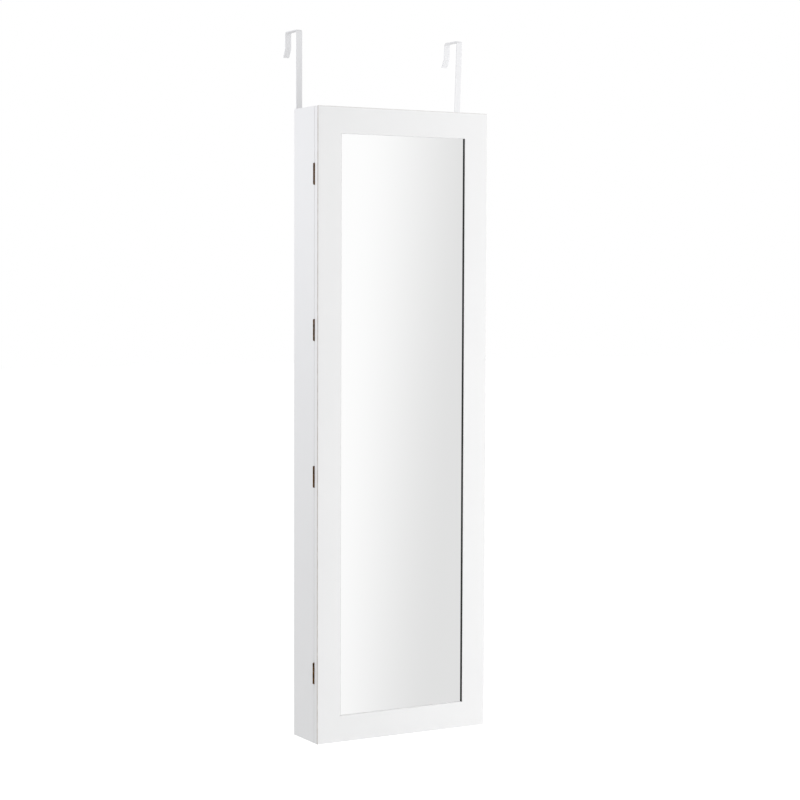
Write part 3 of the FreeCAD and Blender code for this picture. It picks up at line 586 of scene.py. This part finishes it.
def makeClearRubber(look):
    made, tree, shader, place = startMaterial("clearRubber", Transmission_Weight=0.75, IOR=1.42)
    skin = use(tree, paintSkin, {"Place": place, "Dimple": 1800.0, "Roll": 400.0})
    colour = mixColour(tree, skin["Tone"], look["dusty"], look["clear"])
    rough = addShare(tree, look["roughness"], skin["Gloss"], look["glossSwing"])
    dress(tree, shader, colour, rough, skin["Height"], look["bump"])
    return made


finishes = {
    "white_board": makeWhitePaint(whitePaintLook),
    "thin_board": makeThinBoard(thinBoardLook),
    "velvet": makeVelvet(velvetLook),
    "silvered_glass": makeSilveredGlass(mirrorLook),
    "black_seal": makeBlackSeal(sealLook),
    "antique_bronze": makeBronze(bronzeLook),
    "strap_steel": makePowderCoat("powderCoat", powderLook, "right"),
    "zinc_screw": makeZinc(zincLook),
    "black_screw": makeBlackOxide(blackOxideLook),
    "polished_steel": makePolishedSteel(steelLook),
    "gold_peg": makeGold(goldLook),
    "beech": makeBeech(beechLook),
    "catch_plastic": makePlastic("catchPlastic", plasticLook, "catch"),
    "magnet": makeMagnet(magnetLook),
    "rail_plastic": makePlastic("railPlastic", plasticLook, "rail"),
    "felt": makeFelt(feltLook),
    "clear_rubber": makeClearRubber(rubberLook),
}

for part in frame["record"]["subparts"]:
    for place in nodes[part["node"]].material_slots:
        place.material = finishes[part["material_slot"]]
# painted shade: the left hook gets the darker copy of the same powder coat
shadedLeftStrap = nodes["door_hook_left"].material_slots[0]
shadedLeftStrap.material = makePowderCoat("shadedPowderCoat", powderLook, "left")
print("finishes made:", len(finishes))

# soft pieces


def shellFaces(rings, around):
    # quads between neighbouring rings, and a fan of triangles to a pole at each end
    step = np.arange(around)
    ahead = (step + 1) % around
    start = np.arange(rings - 1)[:, None] * around
    quads = np.stack([start + step, start + ahead, start + around + ahead, start + around + step], axis=-1)
    last = (rings - 1) * around
    firstFan = np.stack([ahead, step, np.full(around, rings * around)], axis=-1)
    lastFan = np.stack([last + step, last + ahead, np.full(around, rings * around + 1)], axis=-1)
    return quads.reshape(-1, 4).tolist(), firstFan.tolist() + lastFan.tolist()


def makePiece(name, shells, slotName, body):
    # each shell is an array of rings of points; the poles are the middles of its end rings
    points, faces = [], []
    for shell in shells:
        rings, around = shell.shape[:2]
        quads, fans = shellFaces(rings, around)
        offset = sum(len(part) for part in points)
        poles = shell[[0, -1]].mean(axis=1)
        solid = np.concatenate([shell.reshape(-1, 3), poles])
        # volume of the tetrahedra from the origin tells which way the faces point
        corners = np.array([face[:3] for face in quads] + [[f[0], f[2], f[3]] for f in quads] + fans)
        a, b, c = (solid[corners[:, index]] for index in range(3))
        outward = np.einsum("ij,ij->i", a, np.cross(b, c)).sum() > 0
        made = quads + fans if outward else [face[::-1] for face in quads + fans]
        faces += [[index + offset for index in face] for face in made]
        points.append(solid)
    mesh = bpy.data.meshes.new(name)
    mesh.from_pydata(np.concatenate(points).tolist(), [], faces)
    mesh.polygons.foreach_set("use_smooth", np.ones(len(mesh.polygons), dtype=bool))
    mesh.update()
    made = bpy.data.objects.new(name, mesh)
    bpy.context.scene.collection.objects.link(made)
    made.data.materials.append(finishes[slotName])
    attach(made, body)
    return made


slowWaves = {"count": 6, "shortest": 0.6, "longest": 1.8}


def unevenness(along, across, seed, wave):
    # a sum of slow sines with seeded directions and phases, from -1 to 1
    chance = np.random.default_rng(seed)
    total = np.zeros(np.broadcast(along, across).shape)
    for _ in range(slowWaves["count"]):
        turn, phase = chance.uniform(0, 2 * math.pi, 2)
        size = wave * chance.uniform(slowWaves["shortest"], slowWaves["longest"])
        way = np.cos(turn) * along + np.sin(turn) * across
        total = total + np.sin(2 * math.pi * way / size + phase)
    return total / slowWaves["count"]


ringRolls = {
    "count": 8,
    "exponent": 2.5,  # 2 is round, more is squarer
    "endRound": 0.006,
    "roundShare": 0.55,  # of a quarter circle in the end's outline, the rest is blunter
    "bluntShare": 0.45,
    "gather": 0.6,  # under 1 draws the rings toward the ends
    "squeeze": 0.00006,  # how far a roll stays short of its share of the height
    "sway": 0.00035,
    "wave": 0.045,
    "seed": 40,
    "rings": 150,
    "around": 56,
}


def makeRingRolls(look):
    # each roll is a superellipse carried along x; its ends shrink to a blunt round
    low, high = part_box("ring_cushion")
    pitch = (high[2] - low[2]) / look["count"]
    halfDepth = (high[1] - low[1]) / 2
    ends = np.sin(np.linspace(-math.pi / 2, math.pi / 2, look["rings"]))
    halfLength = (high[0] - low[0]) / 2
    along = halfLength * np.sign(ends) * np.abs(ends) ** look["gather"]
    fromEnd = np.clip((halfLength - np.abs(along)) / look["endRound"], 0.0, 1.0)
    quarter = np.sqrt(np.clip(1 - (1 - fromEnd) ** 2, 0.0, 1.0))
    full = quarter * look["roundShare"] + look["bluntShare"] * fromEnd ** 0.5
    turn = np.linspace(0, 2 * math.pi, look["around"], endpoint=False)
    power = 2 / look["exponent"]
    forth = np.sign(np.cos(turn)) * np.abs(np.cos(turn)) ** power
    rise = np.sign(np.sin(turn)) * np.abs(np.sin(turn)) ** power
    shells = []
    for index in range(look["count"]):
        middleZ = low[2] + pitch * (index + 0.5)
        sway = look["sway"] * unevenness(along, 0 * along, look["seed"] + index, look["wave"])
        depth = (halfDepth - look["sway"]) * full + sway * full
        height = (pitch / 2 - look["squeeze"]) * full
        shell = np.empty((look["rings"], look["around"], 3))
        shell[..., 0] = along[:, None]
        shell[..., 1] = high[1] - halfDepth * full[:, None] + depth[:, None] * forth[None, :]
        shell[..., 2] = middleZ + height[:, None] * rise[None, :]
        shell[..., 1] = np.minimum(shell[..., 1], high[1])
        shells.append(shell)
    made = makePiece("ring_rolls", shells, "velvet", "cabinet")
    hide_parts("ring_cushion")


shelfMats = {
    "thickness": 0.002,
    "corner": 0.004,
    "roll": 0.0011,  # rounding of the rolled edge
    "welt": 0.0035,  # edge to the sewn groove
    "groove": 0.00035,
    "grooveWide": 0.0008,  # half widths of the groove at its top and at its shoulder
    "grooveNarrow": 0.0004,
    "shoulder": 0.7,
    "topRows": (0.3, 0.45, 0.6, 0.75, 0.9),  # shares of the half width
    "baseRows": (0.9, 0.4),
    "lift": 0.00012,
    "softFrom": 0.75,  # share of the thickness over which the top is uneven
    "wave": 0.06,
    "seed": 70,
    "shelves": 3,
    "edgeSteps": 12,
    "cornerSteps": 12,
    "around": 480,
}


def roundedOutline(halfX, halfY, corner, steps, count):
    # four quarter circles joined by straight sides, cut into equal steps along the whole length
    quarter = np.arange(4)[:, None]
    angle = (quarter + np.linspace(0, 1, steps)) * math.pi / 2
    middleX = np.array([1, -1, -1, 1])[:, None] * (halfX - corner)
    middleY = np.array([1, 1, -1, -1])[:, None] * (halfY - corner)
    drawn = np.stack([middleX + corner * np.cos(angle), middleY + corner * np.sin(angle)], axis=-1)
    closed = np.concatenate([drawn.reshape(-1, 2), drawn[0, :1]])
    run = np.concatenate([[0.0], np.cumsum(np.linalg.norm(np.diff(closed, axis=0), axis=1))])
    wanted = np.linspace(0, run[-1], count, endpoint=False)
    return np.stack([np.interp(wanted, run, closed[:, axis]) for axis in range(2)], axis=1)


def makeShelfMats(look):
    # a profile of (inset, height) carried round the mat's outline, then a slow unevenness on top
    low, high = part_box("shelf_pads")
    floors = [low[2]]
    for index in range(1, look["shelves"] + 1):
        floors.append(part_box(f"shelf_{index}")[1][2])
    middle = ((low[0] + high[0]) / 2, (low[1] + high[1]) / 2)
    half = ((high[0] - low[0]) / 2, (high[1] - low[1]) / 2)
    thick, roll, welt = look["thickness"], look["roll"], look["welt"]
    turn = np.linspace(-math.pi / 2, math.pi / 2, look["edgeSteps"])
    edge = [(roll * (1 - math.cos(a)), thick / 2 + math.sin(a) * thick / 2) for a in turn]
    across = half[1]
    wide, narrow = look["grooveWide"], look["grooveNarrow"]
    bottom, shoulder = thick - look["groove"], thick - look["groove"] * look["shoulder"]
    inside = [(welt - wide, thick), (welt - narrow, shoulder), (welt, bottom)]
    inside += [(welt + narrow, shoulder), (welt + wide, thick)]
    inside += [(across * share, thick) for share in look["topRows"]]
    profile = [(across * share, 0.0) for share in look["baseRows"]] + edge + inside
    outline = roundedOutline(half[0], half[1], look["corner"], look["cornerSteps"], look["around"])
    shells = []
    for index, floor in enumerate(floors):
        shell = np.empty((len(profile), look["around"], 3))
        for row, (inset, height) in enumerate(profile):
            x = outline[:, 0] * (half[0] - inset) / half[0]
            y = outline[:, 1] * (half[1] - inset) / half[1]
            drop = np.zeros_like(x)
            if height >= thick * look["softFrom"]:
                lift = look["lift"] * unevenness(x, y, look["seed"] + index, look["wave"])
                drop = np.minimum(lift - look["lift"], 0.0)
            shell[row] = np.stack([middle[0] + x, middle[1] + y, floor + height + drop], axis=1)
        shells.append(shell)
    made = makePiece("shelf_mats", shells, "velvet", "cabinet")
    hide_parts("shelf_pads")


feltDots = {
    "rim": 0.0007,
    "rimSteps": 7,
    "foot": 0.0002,
    "baseRows": (0.5, 0.97),  # shares of the radius
    "faceRows": (0.85, 0.65, 0.4, 0.2),
    "fuzz": 0.00012,
    "seed": 90,
    "around": 96,
}


def makeFeltDots(look):
    # a profile of (radius, depth) turned round y, with a fuzzy rim
    low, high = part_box("back_pads")
    radius = (high[2] - low[2]) / 2
    thick = high[1] - low[1]
    rim = look["rim"]
    angle = np.linspace(0, math.pi / 2, look["rimSteps"])
    profile = [(radius * share, 0.0) for share in look["baseRows"]] + [(radius, look["foot"])]
    profile += [(radius - rim + rim * math.cos(a), thick - rim + rim * math.sin(a)) for a in angle]
    profile += [(radius * share, thick) for share in look["faceRows"]]
    profile = np.array(profile)
    turn = np.linspace(0, 2 * math.pi, look["around"], endpoint=False)
    shells = []
    for side, middleX in enumerate((low[0] + radius, high[0] - radius)):
        chance = np.random.default_rng(look["seed"] + side)
        fuzz = chance.uniform(-1, 0, (len(profile), look["around"])) * look["fuzz"]
        reach = profile[:, :1] + fuzz
        shell = np.empty((len(profile), look["around"], 3))
        shell[..., 0] = middleX + reach * np.cos(turn)
        shell[..., 2] = (low[2] + high[2]) / 2 + reach * np.sin(turn)
        shell[..., 1] = low[1] + profile[:, 1:] + np.where(profile[:, 1:] > rim, fuzz, 0.0)
        shells.append(shell)
    made = makePiece("felt_dots", shells, "felt", "cabinet")
    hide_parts("back_pads")


makeRingRolls(ringRolls)
makeShelfMats(shelfMats)
makeFeltDots(feltDots)
print("soft pieces made")

# studio

studio = {
    "doorHeight": 2.0,  # floor to the top of the house door that carries the hooks
    "floorSize": 60.0,
    "floorColour": rgb(0.86, 0.86, 0.86),
    "floorLift": 0.42,
    "skyStrength": 0.712,
    "skyColour": rgb(0.992, 0.995, 1.0),
}


def makeFloor(look):
    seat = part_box("door_hook_left")[1][2]
    level = seat - look["doorHeight"]
    half = look["floorSize"] / 2
    mesh = bpy.data.meshes.new("studioFloor")
    corners = [(-half, -half, level), (half, -half, level), (half, half, level), (-half, half, level)]
    mesh.from_pydata(corners, [], [(0, 1, 2, 3)])
    made = bpy.data.objects.new("studioFloor", mesh)
    bpy.context.scene.collection.objects.link(made)
    made.visible_glossy = False
    material = bpy.data.materials.new("floorPaper")
    material.use_nodes = True
    tree = material.node_tree
    tree.nodes.clear()
    leave = tree.nodes.new("ShaderNodeOutputMaterial")
    path = tree.nodes.new("ShaderNodeLightPath").outputs
    seen = maths(tree, "ADD", path["Is Camera Ray"], path["Is Transmission Ray"], clamp=True)
    paper = add(tree, "BsdfDiffuse", {"Color": look["floorColour"]})
    lift = maths(tree, "MULTIPLY", seen, look["floorLift"])
    glow = add(tree, "Emission", {"Color": rgb(1, 1, 1), "Strength": lift})
    both = add(tree, "AddShader", {0: paper.outputs[0], 1: glow.outputs[0]})
    tree.links.new(both.outputs[0], leave.inputs[0])
    made.data.materials.append(material)


greyCard = {
    # the soft grey walls that the mirror sees: they fade in over slopes x/-y, and lean by z/-y
    "leastFront": 0.02,
    "from": 0.530,
    "to": 0.616,
    "level": 0.762,
    "lean": -0.0986,
    "farFrom": 0.045,
    "farTo": -0.060,
    "farLevel": 0.80,
    "lowFrom": -0.35,  # slope z/-y from which the floor's own grey fades in
    "lowTo": -1.40,
    "lowLevel": 0.86,
}


def makeWorld(look, card):
    world = bpy.data.worlds.new("studioWorld")
    bpy.context.scene.world = world
    world.use_nodes = True
    tree = world.node_tree
    tree.nodes.clear()
    leave = tree.nodes.new("ShaderNodeOutputWorld")
    path = tree.nodes.new("ShaderNodeLightPath").outputs
    way = add(tree, "SeparateXYZ", {0: tree.nodes.new("ShaderNodeTexCoord").outputs["Generated"]}).outputs
    front = maths(tree, "MAXIMUM", maths(tree, "MULTIPLY", way["Y"], -1.0), card["leastFront"])
    sideways = maths(tree, "DIVIDE", way["X"], front)
    upward = maths(tree, "DIVIDE", way["Z"], front)
    leaning = maths(tree, "ADD", sideways, maths(tree, "MULTIPLY", upward, card["lean"]))
    near = remap(tree, leaning, card["from"], card["to"], 1.0, card["level"], smooth=True)
    far = remap(tree, leaning, card["farFrom"], card["farTo"], 1.0, card["farLevel"], smooth=True)
    low = remap(tree, upward, card["lowFrom"], card["lowTo"], 1.0, card["lowLevel"], smooth=True)
    shade = maths(tree, "MULTIPLY", maths(tree, "MULTIPLY", near, far), low)
    cardGlow = add(tree, "Background", {"Color": rgb(1, 1, 1), "Strength": shade})
    white = add(tree, "Background", {"Color": rgb(1, 1, 1), "Strength": 1.0})
    sky = add(tree, "Background", {"Color": look["skyColour"], "Strength": look["skyStrength"]})
    glossy = add(tree, "MixShader", {0: path["Is Glossy Ray"], 1: sky.outputs[0], 2: cardGlow.outputs[0]})
    straight = maths(tree, "ADD", path["Is Camera Ray"], path["Is Transmission Ray"], clamp=True)
    both = add(tree, "MixShader", {0: straight, 1: glossy.outputs[0], 2: white.outputs[0]})
    tree.links.new(both.outputs[0], leave.inputs[0])


lamps = {
    "key": {
        "place": (1.50, -1.65, 0.15),
        "aim": (0.0, -0.1, 0.1),
        "wide": 0.8,
        "tall": 3.0,
        "power": 26.4,
        "tint": (1.0, 1.0, 1.0),
    },
    "fill": {
        "place": (-1.35, 0.15, 0.75),
        "aim": (-0.2, -0.05, 0.3),
        "wide": 0.8,
        "tall": 0.5,
        "power": 5.2,
        "tint": (0.99, 1.0, 1.07),
    },
    "back": {
        "place": (1.2, 3.0, 1.2),
        "aim": (0.0, 0.0, 0.0),
        "wide": 1.6,
        "tall": 1.6,
        "power": 24.0,
        "tint": (1.0, 1.0, 1.0),
    },
}


def aimRotation(place, aim):
    # a lamp shines along its own -Z
    return (Vector(aim) - Vector(place)).to_track_quat("-Z", "Y").to_euler()


def makeLamps(look):
    for name, values in look.items():
        lamp = bpy.data.lights.new(name, "AREA")
        lamp.shape = "RECTANGLE"
        lamp.size = values["wide"]
        lamp.size_y = values["tall"]
        lamp.energy = values["power"]
        lamp.color = values["tint"]
        made = bpy.data.objects.new(name, lamp)
        made.location = values["place"]
        made.rotation_euler = aimRotation(values["place"], values["aim"])
        made.visible_glossy = False
        made.visible_camera = False
        bpy.context.scene.collection.objects.link(made)


cameraView = {
    "place": (-1.9047, -3.4390, 0.2742),
    "turn": (86.6276, -0.2021, -29.5768),  # degrees about X, Y and Z
    "lens": 90.5187,
    "sensor": 36.0,
    "nearest": 0.05,
    "farthest": 200.0,
}


def makeCamera(look):
    lens = bpy.data.cameras.new("studioCamera")
    lens.lens = look["lens"]
    lens.sensor_width = look["sensor"]
    lens.clip_start = look["nearest"]
    lens.clip_end = look["farthest"]
    made = bpy.data.objects.new("studioCamera", lens)
    made.location = look["place"]
    made.rotation_euler = [math.radians(angle) for angle in look["turn"]]
    bpy.context.scene.collection.objects.link(made)
    bpy.context.scene.camera = made


makeFloor(studio)
makeWorld(studio, greyCard)
makeLamps(lamps)
makeCamera(cameraView)
bpy.context.scene.view_settings.view_transform = "Standard"
print("studio made")
